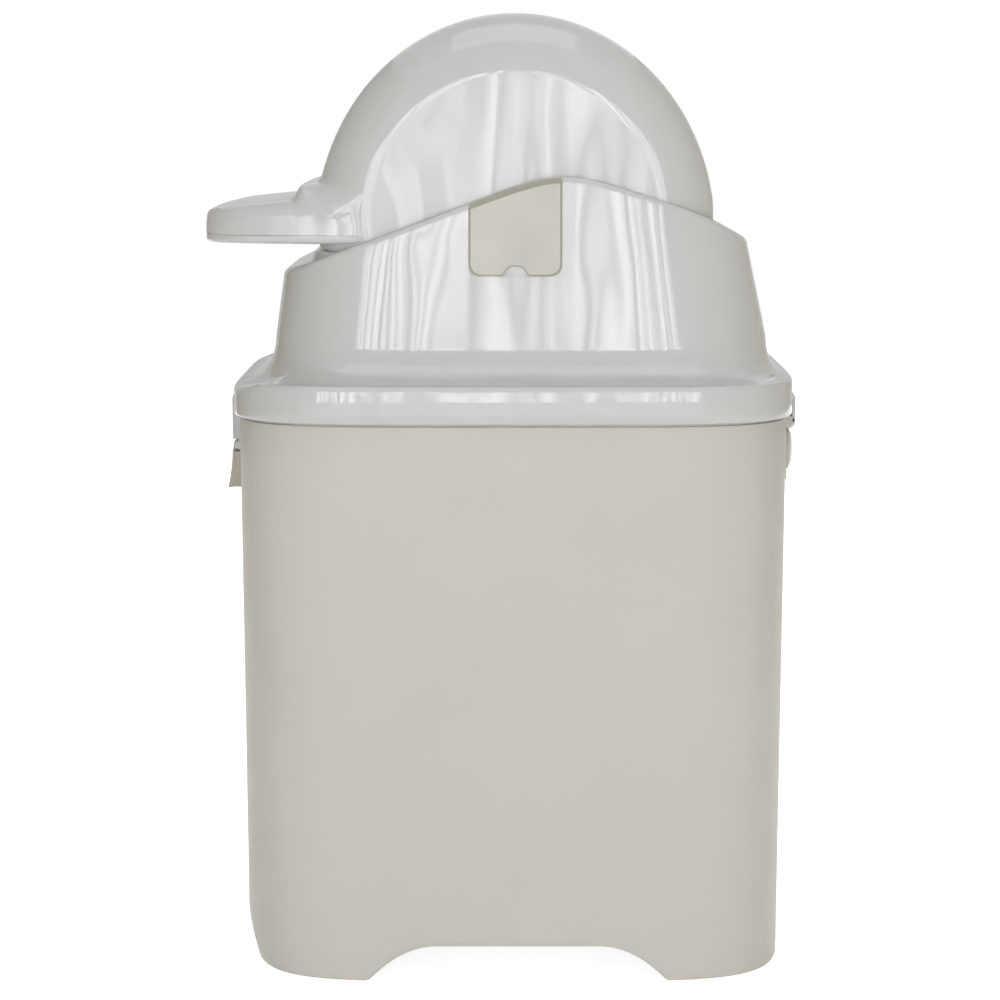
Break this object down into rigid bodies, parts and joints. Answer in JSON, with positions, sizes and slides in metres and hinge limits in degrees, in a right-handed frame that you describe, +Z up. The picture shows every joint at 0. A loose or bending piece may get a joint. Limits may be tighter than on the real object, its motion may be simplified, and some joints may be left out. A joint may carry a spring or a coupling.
{
  "type": "nappy bin",
  "caption": "Free-standing nappy bin: rounded-square body with a hinged, latched head that carries a flip-over drum hood with a broad front handle.",
  "frame": {"origin": "middle of the bin's box, on the ground plane that its feet stand on", "axes": "+Z up; -X towards the front, where the hood's handle and the latch are; Y along the hood's axle"},
  "size_m": [0.329, 0.296, 0.5192],
  "materials": {
    "taupe_plastic": "fine satin, warm grey taupe",
    "white_plastic": "polished white",
    "satin_white_plastic": "satin white",
    "pale_plastic": "satin pale taupe",
    "pearl_plastic": "pearl champagne",
    "bush_plastic": "plain low-friction plastic",
    "soft_rubber": "soft matt",
    "steel": "zinc plated"
  },
  "bodies": {
    "bin": {"bin_body": "taupe_plastic", "foot_ring": "taupe_plastic", "bag_ring": "satin_white_plastic", "latch_bracket": "taupe_plastic", "latch_bracket_screws": "steel", "latch_pin": "steel", "latch_spring": "steel", "hinge_bracket": "taupe_plastic", "hinge_bracket_screws": "steel", "hinge_pin": "steel", "button_spring": "steel"},
    "latch": {"latch_flap": "pale_plastic"},
    "button": {"release_button": "pale_plastic"},
    "head": {"head_shell": "white_plastic", "rim_gasket": "soft_rubber", "hood_seal": "soft_rubber", "seal_retainer": "satin_white_plastic", "retainer_screws": "steel", "pivot_bush_near": "bush_plastic", "pivot_bush_far": "bush_plastic"},
    "near_clip": {"pivot_clip_near": "pearl_plastic"},
    "far_clip": {"pivot_clip_far": "pearl_plastic"},
    "hood": {"hood_shell": "white_plastic", "hub_bush_near": "bush_plastic", "hub_bush_far": "bush_plastic", "handle_underplate": "white_plastic", "handle_screws": "steel"}
  },
  "joints": [
    {"name": "head_open", "type": "hinge", "parent": "bin", "child": "head", "pos_m": [0.16085, 0, 0.2913], "axis": [0, 1, 0], "range_deg": [0, 100]},
    {"name": "hood_flip", "type": "hinge", "parent": "head", "child": "hood", "pos_m": [0.00485, 0, 0.4115], "axis": [0, 1, 0], "range_deg": [0, 155]},
    {"name": "near_clip_pull", "type": "slide", "parent": "head", "child": "near_clip", "axis": [0, -1, 0], "range_m": [0, 0.028]},
    {"name": "far_clip_pull", "type": "slide", "parent": "head", "child": "far_clip", "axis": [0, 1, 0], "range_m": [0, 0.028]},
    {"name": "latch_pull", "type": "hinge", "parent": "bin", "child": "latch", "pos_m": [-0.15245, 0, 0.278], "axis": [0, 1, 0], "range_deg": [0, 20], "stiffness_Nm_per_rad": 0.06, "springref_deg": -5.73},
    {"name": "button_press", "type": "slide", "parent": "bin", "child": "button", "axis": [-1, 0, 0], "range_m": [0, 0.0025], "stiffness_N_per_m": 400, "springref_m": -0.002, "deforming": ["button_spring"]}
  ]
}
